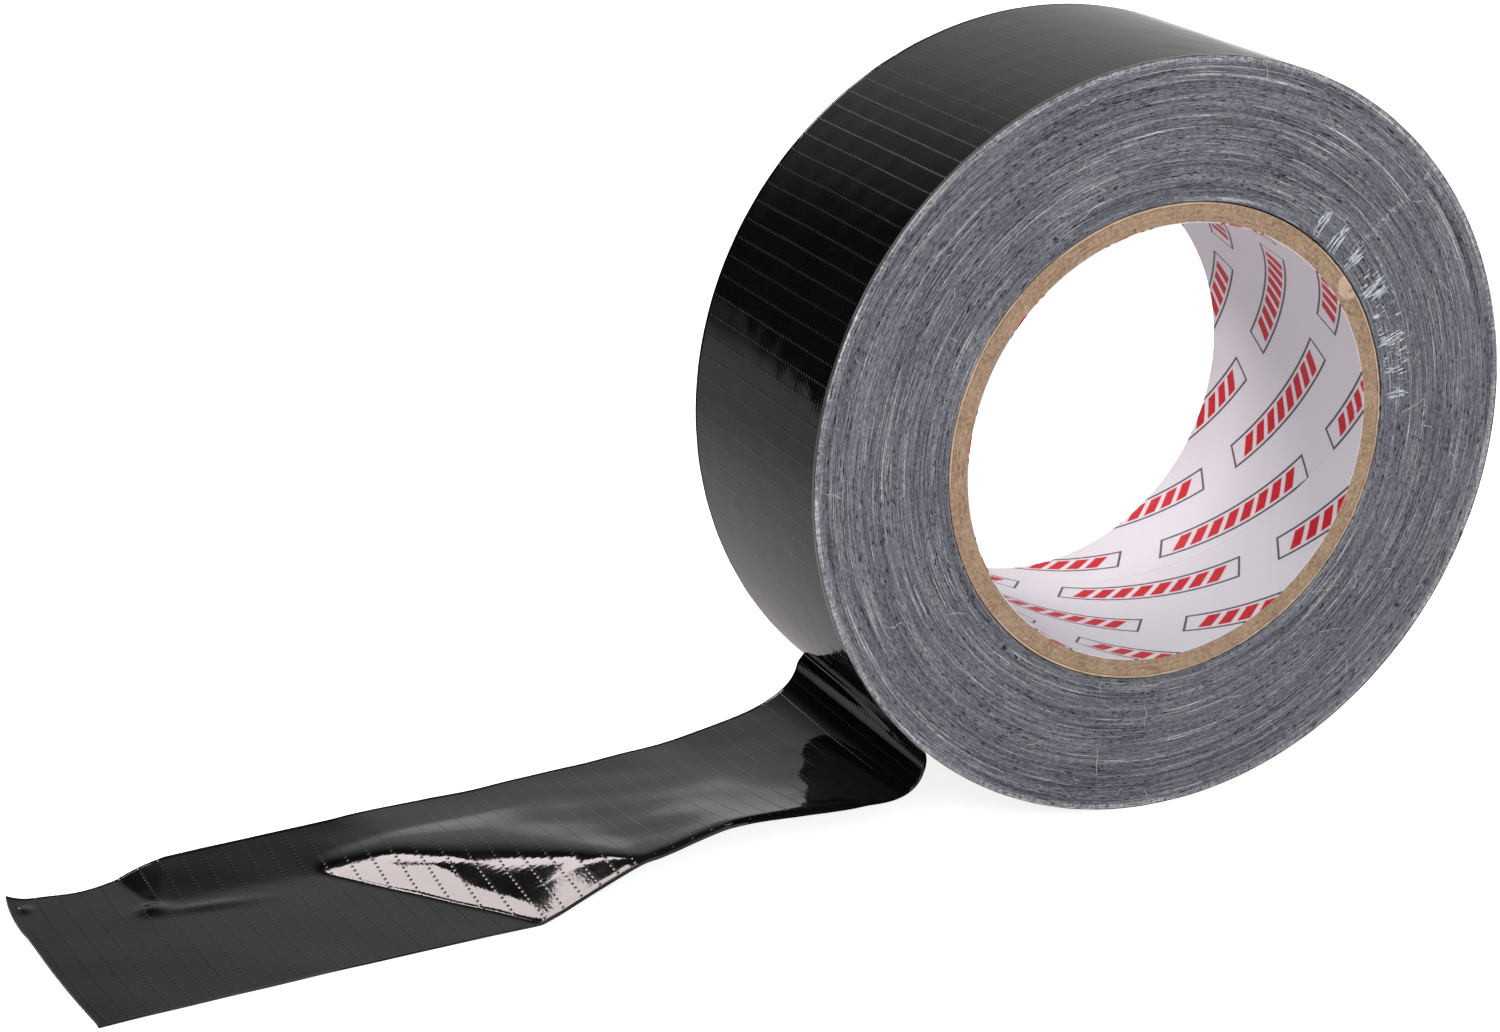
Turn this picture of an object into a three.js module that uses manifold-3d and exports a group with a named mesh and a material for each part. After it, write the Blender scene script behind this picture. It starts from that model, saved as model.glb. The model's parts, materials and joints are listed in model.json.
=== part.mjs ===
// A roll of cloth-backed duct tape, standing on its rim with the free end of the tape
// peeled off and lying beside it. Millimetres, +Z up. The roll's axis runs along Y, the
// free end runs towards -X, and the origin is where the rim stands, under the axis.
import * as THREE from 'three';
import { mergeVertices } from 'three/addons/utils/BufferGeometryUtils.js';
import Module from 'manifold-3d';

// ---- Roll and core ----
const tapeWidth = 48.5; // slit width, shared by the tape and the core
const rollRadius = 65.9; // over the outermost lap, at the peel line
const boreRadius = 38.1; // a 3 inch core
const linerThickness = 0.15; // printed paper in the bore
const plyThickness = 0.8; // one strip of core board
const plyCount = 4;
const plyStripWidth = 125; // width of the board strip that each ply is wound from
const plySeamGap = 0.5; // open butt seam between a strip's turns
const linerSeamGap = 0.3;
const outerSeamAngle = 56; // the outer ply's seam on the -Y face, from +Z towards +X
const seamStagger = 97; // turn from one ply's seam to the next, inwards
const glueGap = 0.02; // glue line between neighbouring plies, and under the first lap

// ---- Tape, from its outer face inwards ----
const filmThickness = 0.055; // polyethylene backing
const scrimThickness = 0.06; // cotton scrim
const adhesiveThickness = 0.05;
const bondGap = 0.005; // between bonded layers, and between laps

// ---- Free end ----
const peelFacets = 11.5; // facets of the roll between its foot and the peel line
const hingeClearance = 0.3; // between the outer lap's end and the free end's start
const lapEndClearance = 0.3; // between the outer lap's inner end and the lap below it
const bendHeight = 9.9; // of the tape's outer face, after it turns away from the roll
const bendRadius = 5.5; // inside the turn
const crestReach = 29; // from the peel line out to the near edge's crest
const crestHeight = 11.9;
const nearLanding = 69; // from the peel line to where the near edge meets the table
const farSettle = 30; // where the far edge is almost down
const farSettleHeight = 4.1;
const farLanding = 112;
const tailReach = 143; // from the peel line to the middle of the cut end
const tailShift = 5.75; // of the cut end's middle, towards -Y
const tailSlew = 5; // degrees between the cut end and the roll's axis

// ---- Fineness of the faceted solids ----
const facetsPerTurn = 96; // even, so that a flat facet lies under the axis
const seamSteps = 16;
const tailSteps = 38;
const tailColumns = 4;

// ---- Worked out from the above ----
const facetAngle = (2 * Math.PI) / facetsPerTurn;
const halfWidth = tapeWidth / 2;
const tapeThickness = filmThickness + scrimThickness + adhesiveThickness + 2 * bondGap;
const lapPitch = tapeThickness + bondGap;
const coreInnerRadius = boreRadius + linerThickness + glueGap;
const coreOuterRadius = coreInnerRadius + plyCount * plyThickness + (plyCount - 1) * glueGap;
const footAngle = Math.PI; // angles are measured from +Z towards +X
const peelAngle = footAngle + peelFacets * facetAngle;
const facetsToFoot = facetsPerTurn - peelFacets - 0.5; // round the lap, to the foot facet
const axisHeight = lapRadius(facetsToFoot) * Math.cos(facetAngle / 2);

// Where each layer of the tape lies, as depths below its outer face
const layers = {
  film: { top: 0, bottom: filmThickness },
  scrim: { top: filmThickness + bondGap, bottom: tapeThickness - adhesiveThickness - bondGap },
  adhesive: { top: tapeThickness - adhesiveThickness, bottom: tapeThickness },
};

const finishes = {
  film: { color: 0x0b0b0c, roughness: 0.22, metalness: 0 },
  scrim: { color: 0xc9c2ae, roughness: 0.95, metalness: 0 },
  adhesive: { color: 0x8d9194, roughness: 0.55, metalness: 0 },
  lapEdges: { color: 0x5f6870, roughness: 0.7, metalness: 0 },
  board: { color: 0xb08d63, roughness: 0.95, metalness: 0 },
  paper: { color: 0xd8d6da, roughness: 0.6, metalness: 0 },
};

const wasm = await Module();
wasm.setup();

// Radius of the outermost lap's outer face, a number of facets round from the peel line
function lapRadius(facets) {
  return rollRadius - (lapPitch * facets) / facetsPerTurn;
}

// A point on a circle round the roll's axis, in the plane across it
function aroundAxis(radius, angle) {
  return new THREE.Vector2(radius * Math.sin(angle), axisHeight + radius * Math.cos(angle));
}

function welded(geometry) {
  const bare = geometry.clone();
  bare.deleteAttribute('normal');
  bare.deleteAttribute('uv');
  return mergeVertices(bare);
}

function toSolid(geometry) {
  const closed = welded(geometry);
  const vertProperties = new Float32Array(closed.attributes.position.array);
  const triVerts = new Uint32Array(closed.index.array);
  return new wasm.Manifold(new wasm.Mesh({ numProp: 3, vertProperties, triVerts }));
}

function toGeometry(solid) {
  const mesh = solid.getMesh();
  const geometry = new THREE.BufferGeometry();
  geometry.setAttribute('position', new THREE.BufferAttribute(mesh.vertProperties, 3));
  geometry.setIndex(new THREE.BufferAttribute(mesh.triVerts, 1));
  return geometry;
}

// A closed solid through a row of loops. Each loop has the same even number of points and
// runs anticlockwise as seen from the last loop's side.
function loft(loops) {
  const count = loops[0].length;
  const positions = loops.flat().flatMap((point) => point.toArray());
  const faces = [];
  for (let row = 0; row < loops.length - 1; row += 1) {
    for (let i = 0; i < count; i += 1) {
      const next = (i + 1) % count;
      const here = row * count;
      const ahead = here + count;
      // Both halves of a loop split their faces the same way, so stacked layers fit
      if (i < count / 2) {
        faces.push(here + i, here + next, ahead + next);
        faces.push(here + i, ahead + next, ahead + i);
      } else {
        faces.push(here + i, here + next, ahead + i);
        faces.push(here + next, ahead + next, ahead + i);
      }
    }
  }
  const last = (loops.length - 1) * count;
  for (let i = 0; i < count / 2 - 1; i += 1) {
    const across = count - 1 - i;
    faces.push(i, across, across - 1, i, across - 1, i + 1);
    faces.push(last + i, last + i + 1, last + across - 1);
    faces.push(last + i, last + across - 1, last + across);
  }
  const geometry = new THREE.BufferGeometry();
  geometry.setAttribute('position', new THREE.Float32BufferAttribute(positions, 3));
  geometry.setIndex(faces);
  return geometry;
}

// ---- Core ----

// A plain ring about the roll's axis, with a facet squarely under the axis
function ring(innerRadius, outerRadius) {
  const profile = [
    new THREE.Vector2(outerRadius, -halfWidth),
    new THREE.Vector2(outerRadius, halfWidth),
    new THREE.Vector2(innerRadius, halfWidth),
    new THREE.Vector2(innerRadius, -halfWidth),
    new THREE.Vector2(outerRadius, -halfWidth),
  ];
  const geometry = new THREE.LatheGeometry(profile, facetsPerTurn, facetAngle / 2);
  geometry.translate(0, 0, axisHeight);
  return geometry;
}

// The slot between two turns of a wound strip: it twists about the axis along the core
function seamFin(innerRadius, outerRadius, faceAngle, gap) {
  const margin = 1;
  const inner = innerRadius - margin;
  const outer = outerRadius + margin;
  const length = tapeWidth + 2 * margin;
  const lean = Math.acos(plyStripWidth / (2 * Math.PI * outerRadius)); // seam from the axis
  const twist = (length * Math.tan(lean)) / outerRadius;
  const loops = [];
  for (let step = 0; step <= seamSteps; step += 1) {
    const along = step / seamSteps;
    const y = -length / 2 + along * length;
    const angle = faceAngle + along * twist;
    const innerHalf = gap / 2 / inner;
    const outerHalf = gap / 2 / outer;
    const corners = [
      aroundAxis(inner, angle - innerHalf),
      aroundAxis(outer, angle - outerHalf),
      aroundAxis(outer, angle + outerHalf),
      aroundAxis(inner, angle + innerHalf),
    ];
    loops.push(corners.map((corner) => new THREE.Vector3(corner.x, y, corner.y)));
  }
  return loft(loops);
}

function woundTube(innerRadius, thickness, faceAngle, gap) {
  const outerRadius = innerRadius + thickness;
  const tube = toSolid(ring(innerRadius, outerRadius));
  const fin = toSolid(seamFin(innerRadius, outerRadius, faceAngle, gap));
  return toGeometry(tube.subtract(fin));
}

// Ply 1 lines the bore side and the last ply carries the tape
function corePly(number) {
  const innerRadius = coreInnerRadius + (number - 1) * (plyThickness + glueGap);
  const turns = plyCount - number;
  const faceAngle = THREE.MathUtils.degToRad(outerSeamAngle + turns * seamStagger);
  return woundTube(innerRadius, plyThickness, faceAngle, plySeamGap);
}

function coreLiner() {
  const faceAngle = THREE.MathUtils.degToRad(outerSeamAngle + plyCount * seamStagger);
  return woundTube(boreRadius, linerThickness, faceAngle, linerSeamGap);
}

// ---- Wound tape ----

// Points round one lap at a depth below its outer face, from the peel line right round to
// just short of it
function lapPoints(depth) {
  const points = [];
  for (let facet = 0; facet <= facetsPerTurn; facet += 1) {
    const radius = lapRadius(facet) - depth;
    const short = facet === facetsPerTurn ? lapEndClearance / radius : 0;
    points.push(aroundAxis(radius, peelAngle + facet * facetAngle - short));
  }
  return points;
}

function extrudedAcross(shape) {
  const geometry = new THREE.ExtrudeGeometry(shape, { depth: tapeWidth, bevelEnabled: false });
  geometry.rotateX(Math.PI / 2);
  geometry.translate(0, halfWidth, 0);
  return geometry;
}

function outerLap(layer) {
  const outside = lapPoints(layer.top);
  const inside = lapPoints(layer.bottom).reverse();
  return extrudedAcross(new THREE.Shape([...outside, ...inside]));
}

// All the laps below the outermost, with the small step where it starts
function woundLaps() {
  const shape = new THREE.Shape(
    lapPoints(lapPitch).map((point, facet, all) => {
      const closing = facet === all.length - 1;
      return closing ? aroundAxis(lapRadius(facet) - lapPitch, peelAngle) : point;
    }),
  );
  const bore = [];
  for (let facet = 0; facet < facetsPerTurn; facet += 1) {
    bore.push(aroundAxis(coreOuterRadius + glueGap, peelAngle - facet * facetAngle));
  }
  shape.holes.push(new THREE.Path(bore));
  return extrudedAcross(shape);
}

// ---- Free end ----

const peel = aroundAxis(rollRadius, peelAngle); // the line that the free end turns about

// The tape's outer face along one edge: down from the peel line, round the bend and out.
// outline holds [distance from the peel line, height] pairs beyond the bend.
function edgeCurve(side, outline, landing) {
  const radius = Math.min(bendRadius, peel.y - bendHeight);
  const bend = [0, 0.25, 0.5, 0.75, 1].map((share) => {
    const turn = (share * Math.PI) / 2;
    const out = radius * (1 - Math.cos(turn));
    return [out, bendHeight + radius * (1 - Math.sin(turn))];
  });
  const slew = THREE.MathUtils.degToRad(tailSlew);
  const end = [tailReach + side * halfWidth * Math.sin(slew), tapeThickness];
  const endY = -tailShift + side * halfWidth * Math.cos(slew);
  const line = [[0, peel.y], ...bend, ...outline, [landing, tapeThickness], end];
  const points = line.map(([out, height]) => {
    const run = Math.max(0, (out - crestReach) / (end[0] - crestReach));
    const y = THREE.MathUtils.lerp(side * halfWidth, endY, run);
    return new THREE.Vector3(peel.x - out, y, height);
  });
  return new THREE.CatmullRomCurve3(points);
}

const nearEdge = edgeCurve(
  -1,
  [
    [crestReach, crestHeight],
    [crestReach * 1.6, crestHeight * 0.8],
    [(crestReach * 1.6 + nearLanding) / 2, crestHeight * 0.38],
  ],
  nearLanding,
);
const farEdge = edgeCurve(
  1,
  [
    [farSettle / 2, (bendHeight + farSettleHeight) / 2.2],
    [farSettle, farSettleHeight],
    [(farSettle + farLanding) / 2, farSettleHeight * 0.65],
  ],
  farLanding,
);

// The near and far edge at a share of the free end's length, the tape's width apart and
// never below the table
function tailRuling(share) {
  const near = nearEdge.getPointAt(share);
  const far = farEdge.getPointAt(share);
  const middle = near.clone().lerp(far, 0.5);
  const across = far.clone().sub(near).normalize();
  const edges = [-halfWidth, halfWidth].map((y) => middle.clone().addScaledVector(across, y));
  edges.forEach((edge) => edge.setZ(Math.max(edge.z, tapeThickness)));
  return edges;
}

// The same point of the tape at a depth below its outer face
function tailPoint(share, column, depth) {
  const step = 0.25 / tailSteps;
  const before = tailRuling(Math.max(0, share - step));
  const after = tailRuling(Math.min(1, share + step));
  const here = tailRuling(share);
  const v = column / tailColumns;
  const along = after[0].clone().lerp(after[1], v).sub(before[0].clone().lerp(before[1], v));
  const across = here[1].clone().sub(here[0]);
  const normal = across.cross(along).normalize();
  return here[0].clone().lerp(here[1], v).addScaledVector(normal, -depth);
}

// Closer steps in the bend than on the table
function tailShare(step) {
  const start = hingeClearance / nearEdge.getLength();
  return start + (1 - start) * (step / tailSteps) ** 1.5;
}

function tailLayer(layer) {
  const loops = [];
  const columns = Array.from({ length: tailColumns + 1 }, (unused, column) => column);
  for (let step = 0; step <= tailSteps; step += 1) {
    const share = tailShare(step);
    const top = columns.map((column) => tailPoint(share, column, layer.top));
    const bottom = columns.map((column) => tailPoint(share, column, layer.bottom));
    loops.push([...top, ...bottom.reverse()]);
  }
  return loft(loops);
}

// ---- Assembly ----

function part(name, geometry, finish) {
  const mesh = new THREE.Mesh(geometry, new THREE.MeshStandardMaterial(finish));
  mesh.name = name;
  return mesh;
}

const core = new THREE.Group();
core.add(part('core_liner', coreLiner(), finishes.paper));
for (let number = 1; number <= plyCount; number += 1) {
  core.add(part(`core_ply_${number}`, corePly(number), finishes.board));
}

const wound = new THREE.Group();
wound.add(part('wound_laps', woundLaps(), finishes.lapEdges));

const freeEnd = new THREE.Group();
for (const [name, layer] of Object.entries(layers)) {
  wound.add(part(`outer_lap_${name}`, outerLap(layer), finishes[name]));
  freeEnd.add(part(`free_end_${name}`, tailLayer(layer), finishes[name]));
}

const roll = new THREE.Group();
roll.add(core, wound, freeEnd);

export default roll;
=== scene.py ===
import json
from functools import partial
from math import acos, atan2, cos, hypot, pi, radians, sin, sqrt, tan, tau
import bpy
import numpy as np
from mathutils import Matrix, Vector


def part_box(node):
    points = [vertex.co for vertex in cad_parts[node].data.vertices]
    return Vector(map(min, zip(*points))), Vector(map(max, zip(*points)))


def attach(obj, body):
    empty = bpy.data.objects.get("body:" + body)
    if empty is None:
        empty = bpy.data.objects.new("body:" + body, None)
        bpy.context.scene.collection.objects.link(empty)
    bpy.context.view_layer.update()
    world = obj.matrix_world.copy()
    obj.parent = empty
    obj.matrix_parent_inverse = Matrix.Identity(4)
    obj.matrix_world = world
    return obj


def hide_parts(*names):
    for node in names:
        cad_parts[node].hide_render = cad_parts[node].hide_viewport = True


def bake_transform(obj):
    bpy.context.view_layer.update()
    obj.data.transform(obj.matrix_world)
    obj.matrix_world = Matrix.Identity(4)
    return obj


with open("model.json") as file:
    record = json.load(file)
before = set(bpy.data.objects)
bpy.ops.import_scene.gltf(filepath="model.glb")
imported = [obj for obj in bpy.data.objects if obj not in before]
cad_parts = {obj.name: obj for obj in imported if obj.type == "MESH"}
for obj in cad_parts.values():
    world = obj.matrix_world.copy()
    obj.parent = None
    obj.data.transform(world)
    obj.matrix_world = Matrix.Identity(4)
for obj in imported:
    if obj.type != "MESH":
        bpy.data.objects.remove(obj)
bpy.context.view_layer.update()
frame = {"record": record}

hinge = frame["record"]["behaviour"]["joints"][0]
peel = Vector(hinge["pos_m"])  # the line where the tape leaves the roll
linerLow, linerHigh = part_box("core_liner")
axisHeight = (linerLow.z + linerHigh.z) / 2
rollRadius = hypot(peel.x, peel.z - axisHeight)
peelAngle = atan2(peel.x, peel.z - axisHeight) % tau  # from +Z towards +X
halfWidth = (linerHigh.y - linerLow.y) / 2
mm = 0.001


def newObject(name, data):
    thing = bpy.data.objects.new(name, data)
    bpy.context.collection.objects.link(thing)
    return thing


# Camera
cameraSetup = dict(azimuth=-23.83, elevation=19.58, distance=0.5384, lens=77.3,
                   aim=(-0.06628, 0.0, -0.01093))  # the aim is from the roll's centre


def makeCamera(setup):
    azimuth, elevation = radians(setup["azimuth"]), radians(setup["elevation"])
    back = Vector((sin(azimuth) * cos(elevation), -cos(azimuth) * cos(elevation), sin(elevation)))
    data = bpy.data.cameras.new("camera")
    data.lens = setup["lens"]
    data.sensor_width = 36
    data.clip_start, data.clip_end = 0.01, 20
    camera = newObject("camera", data)
    aim = Vector(setup["aim"]) + Vector((0, 0, axisHeight))
    camera.location = aim + back * setup["distance"]
    camera.rotation_mode = "QUATERNION"
    camera.rotation_quaternion = (-back).to_track_quat("-Z", "Y")
    bpy.context.scene.camera = camera


makeCamera(cameraSetup)
print("camera set")


# A node goes into the tree of the sockets that feed it
def plug(value, socket):
    if isinstance(value, bpy.types.NodeSocket):
        socket.id_data.links.new(value, socket)
    else:
        socket.default_value = value


def addNode(tree, kind, inputs=None, **settings):
    node = tree.nodes.new(kind)
    for name, value in settings.items():
        setattr(node, name, value)
    for key, value in (inputs or {}).items():
        plug(value, node.inputs[key])
    return node


def geoNode(tree, kind, inputs=None, **settings):
    return addNode(tree, "GeometryNode" + kind, inputs, **settings).outputs[0]


def treeOf(*values):
    return next(value for value in values if isinstance(value, bpy.types.NodeSocket)).id_data


def maths(operation, *values, clamp=False):
    return addNode(treeOf(*values), "ShaderNodeMath", dict(enumerate(values)), operation=operation,
                   use_clamp=clamp).outputs[0]


times, plus, minus, over, timesPlus, sizeOf, larger = (
    partial(maths, operation) for operation in
    ("MULTIPLY", "ADD", "SUBTRACT", "DIVIDE", "MULTIPLY_ADD", "ABSOLUTE", "MAXIMUM"))


def ranged(value, low, high, start=0.0, end=1.0, smooth=True):
    return addNode(value.id_data, "ShaderNodeMapRange", {0: value, 1: low, 2: high, 3: start,
                                                         4: end},
                   interpolation_type="SMOOTHSTEP" if smooth else "LINEAR").outputs[0]


def noise(vector, scale, detail=2.0, roughness=0.5, distortion=0.0):
    return addNode(vector.id_data, "ShaderNodeTexNoise", {"Vector": vector, "Scale": scale,
                                                          "Detail": detail, "Roughness": roughness,
                                                          "Distortion": distortion}).outputs["Fac"]


def mapped(vector, **inputs):
    return addNode(vector.id_data, "ShaderNodeMapping", {"Vector": vector, **inputs}).outputs[0]


def mixColours(factor, first, second):
    return addNode(treeOf(factor, first, second), "ShaderNodeMix",
                   {0: factor, 6: first, 7: second}, data_type="RGBA").outputs[2]


def lengthOf(vector):
    return addNode(vector.id_data, "ShaderNodeVectorMath", {0: vector},
                   operation="LENGTH").outputs["Value"]


def combine(x=0.0, y=0.0, z=0.0):
    return addNode(treeOf(x, y, z), "ShaderNodeCombineXYZ", {0: x, 1: y, 2: z}).outputs[0]


def separate(vector):
    return addNode(vector.id_data, "ShaderNodeSeparateXYZ", {0: vector}).outputs


# A material, its shader's inputs, and the coordinates that its patterns are laid out on
def newMaterial(name, uvMap=None, **shader):
    material = bpy.data.materials.new(name)
    material.use_nodes = True
    tree = material.node_tree
    surface = tree.nodes["Principled BSDF"].inputs
    for socket, value in shader.items():
        surface[socket.replace("_", " ")].default_value = value
    if uvMap:
        place = addNode(tree, "ShaderNodeUVMap", uv_map=uvMap).outputs[0]
    else:
        place = addNode(tree, "ShaderNodeTexCoord").outputs["Object"]
    return material, surface, place


# What varies over the surface: its colour, its relief in metres, and its roughness
def finish(surface, colour, height, rough=None):
    plug(colour, surface["Base Color"])
    relief = addNode(height.id_data, "ShaderNodeBump", {"Height": height, "Distance": 1.0,
                                                        "Strength": 1.0})
    plug(relief.outputs[0], surface["Normal"])
    if rough is not None:
        plug(rough, surface["Roughness"])


def grey(value, warm=0.0):
    return (value * (1 + warm), value, value * (1 - warm), 1)


# Backing film
filmLook = dict(
    weftPitch=3.5 * mm, warpPitch=1.02 * mm, weftWidth=0.32 * mm, dotHeight=0.037 * mm,
    weftHeight=0.0006 * mm, warpHeight=0.0012 * mm, weftSway=0.4 * mm, warpSway=0.5 * mm,
    grainScale=1500.0, grainDepth=0.0042 * mm, roughness=0.03, smudging=0.05, weftRoughness=0.015,
    dark=(0.0014, 0.0014, 0.0016, 1), pale=(0.0030, 0.0026, 0.0025, 1),
    swells=[((260, 420, 1), 3.0, 0.55, 0.012 * mm), ((1100, 190, 1), 2.0, 0.5, 0.0035 * mm)])


# A row of soft ridges: one at each whole number of the coordinate over the pitch
def ridges(coordinate, pitch, width):
    cell = over(coordinate, pitch)
    away = sizeOf(minus(maths("FRACT", cell), 0.5))
    return ranged(away, 0.0, width / pitch, 1.0, 0.0)


def clothRelief(uv, look):
    along, across, _ = separate(uv)
    sway = times(noise(mapped(uv, Scale=(25, 60, 1)), 1.0, 1.0), look["weftSway"])
    weft = ridges(plus(along, sway), look["weftPitch"], look["weftWidth"])
    sway = times(noise(mapped(uv, Scale=(90, 30, 1)), 1.0, 1.0), look["warpSway"])
    warp = ridges(plus(across, sway), look["warpPitch"], 0.36 * look["warpPitch"])
    dots = times(weft, ranged(warp, 0.25, 0.9))
    height = timesPlus(weft, look["weftHeight"], times(dots, look["dotHeight"]))
    return timesPlus(warp, look["warpHeight"], height), weft


def filmMaterial(look):
    material, surface, uv = newMaterial("backing_film", "tapeUv", Specular_IOR_Level=0.40)
    relief, weft = clothRelief(uv, look)
    height = relief
    # creep across the tape, streaks along it, and a fine grain
    for scale, detail, roughness, depth in look["swells"]:
        swell = noise(mapped(uv, Scale=scale), 1.0, detail, roughness)
        height = timesPlus(swell, depth, height)
    height = timesPlus(noise(uv, look["grainScale"]), look["grainDepth"], height)
    smudge = noise(mapped(uv, Scale=(55, 90, 1)), 1.0, 5.0, 0.6)
    rough = ranged(smudge, 0.35, 0.75, look["roughness"], look["roughness"] + look["smudging"])
    rough = timesPlus(weft, look["weftRoughness"], rough)
    tint = mixColours(smudge, look["dark"], look["pale"])
    dust = ranged(noise(uv, 900.0, 1.0, 0.3), 0.82, 0.88)
    finish(surface, mixColours(times(dust, 0.3), tint, grey(0.12)), height, rough)
    return material


# Adhesive, with the cotton showing through
def adhesiveMaterial(look):
    material, surface, uv = newMaterial("adhesive", "tapeUv", Specular_IOR_Level=0.5)
    relief, _ = clothRelief(uv, look)
    lumps = noise(uv, 700.0, 4.0, 0.6)
    cloth = ranged(relief, 0.0, 0.02 * mm)
    base = mixColours(lumps, grey(0.22, -0.04), grey(0.31, -0.02))
    finish(surface, mixColours(times(cloth, 0.55), base, grey(0.42, 0.05)),
           timesPlus(lumps, 0.02 * mm, times(relief, 1.6)), ranged(lumps, 0.3, 0.7, 0.28, 0.5))
    return material


# Cotton
def cottonMaterial():
    material, surface, place = newMaterial("cotton_thread", Roughness=0.9, Sheen_Weight=0.4)
    twist = noise(place, 6000.0, 2.0)
    patch = noise(place, 120.0, 1.0)
    pale = mixColours(patch, (0.62, 0.58, 0.47, 1), (0.74, 0.74, 0.72, 1))
    dark = mixColours(0.5, pale, (0.25, 0.22, 0.17, 1))
    finish(surface, mixColours(ranged(twist, 0.35, 0.65), dark, pale), times(twist, 0.02 * mm))
    return material


# White fibre that the knife has pulled out of the laps
def draggedMaterial():
    material, surface, place = newMaterial("dragged_fibre", Roughness=0.8)
    patch = noise(place, 900.0, 2.0)
    finish(surface, mixColours(patch, (0.52, 0.57, 0.64, 1), (0.86, 0.89, 0.92, 1)),
           times(patch, 0.02 * mm))
    return material


# Core board
boardLook = dict(
    seamDegrees=54.6, glueWidth=4.4 * mm, glueMiddle=41.0 * mm, glueDepth=1.9 * mm,
    gapRadius=41.12 * mm, gapSway=0.25 * mm)


def boardMaterial(look):
    material, surface, place = newMaterial("core_board", Roughness=0.92, Specular_IOR_Level=0.2)
    centred = mapped(place, Location=(0, 0, -axisHeight))
    fibre = noise(centred, 1500.0, 5.0, 0.7)
    blotch = noise(centred, 160.0, 3.0, 0.6)
    flecks = noise(centred, 2600.0, 1.0, 0.4, 0.4)
    paleFlecks = noise(centred, 3400.0, 1.0)
    base = (0.24, 0.155, 0.098, 1)
    for share, colour in ((ranged(fibre, 0.3, 0.7), (0.43, 0.305, 0.210, 1)),
                          (ranged(blotch, 0.35, 0.7, 0.0, 0.35), (0.52, 0.38, 0.26, 1)),
                          (ranged(flecks, 0.68, 0.78, 0.0, 0.6), (0.09, 0.05, 0.028, 1)),
                          (ranged(paleFlecks, 0.68, 0.76, 0.0, 0.6), (0.72, 0.60, 0.47, 1))):
        base = mixColours(share, base, colour)
    # glue that has dried pale over the outermost seam, at the near end only
    x, y, z = separate(centred)
    seam = radians(look["seamDegrees"])
    beside = minus(times(x, cos(seam)), times(z, sin(seam)))
    beyond = minus(timesPlus(x, sin(seam), times(z, cos(seam))), look["glueMiddle"])
    away = lengthOf(combine(over(beside, look["glueWidth"] / 2), over(beyond, look["glueDepth"])))
    uneven = minus(blotch, 0.5)
    away = timesPlus(uneven, 0.9, away)
    glued = ranged(away, 0.9, 1.15, 0.85, 0.0)
    glued = times(glued, ranged(y, 1.5 * mm - halfWidth, 0.5 * mm - halfWidth))
    glued = times(glued, ranged(z, 0.0, 5 * mm))
    base = mixColours(glued, base, (0.60, 0.44, 0.33, 1))
    # the outermost turn of paper has lifted: the gap under it is painted dark as shade, with a
    # pale edge outside it
    radius = maths("SQRT", timesPlus(x, x, times(z, z)))
    gap = minus(timesPlus(uneven, look["gapSway"], radius), look["gapRadius"])
    opened = ranged(noise(centred, 45.0, 1.0), 0.40, 0.52)
    opened = times(opened, ranged(away, 1.0, 1.3))
    pale = times(ranged(gap, 0.04 * mm, 0.10 * mm), times(opened, 0.6))
    # painted shade: the mask that darkens the gap under the lifted paper
    dark = ranged(sizeOf(gap), 0.03 * mm, 0.09 * mm, 0.75, 0.0)
    base = mixColours(pale, base, (0.62, 0.47, 0.33, 1))
    # the gap's painted shade goes on here
    base = mixColours(times(dark, opened), base, (0.07, 0.04, 0.02, 1))
    finish(surface, base, times(fibre, 0.22 * mm))
    return material


# Printed liner
# The print runs along the spiral that the paper is wound on. Each frame holds a row of
# leaning bars.
printLook = dict(
    lean=37.8, frameLength=33.2 * mm, frameHeight=5.0 * mm, alongPitch=41.3 * mm,
    acrossPitch=13.4 * mm, rowShift=17.2 * mm, line=0.42 * mm, barPitch=3.5 * mm,
    barHeight=3.5 * mm, bars=8, barShare=0.66, barLean=0.45, start=3.5 * mm, rowStart=-7.7 * mm,
    soft=0.05 * mm, spread=0.35 * mm, paperDark=tuple(0.93 * c for c in (0.66, 0.645,
    0.69)) + (1,), paper=(0.66, 0.645, 0.69, 1), red=(0.50, 0.008, 0.018, 1), halo=(0.72, 0.42,
    0.46, 1), black=(0.022, 0.022, 0.028, 1))


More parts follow.
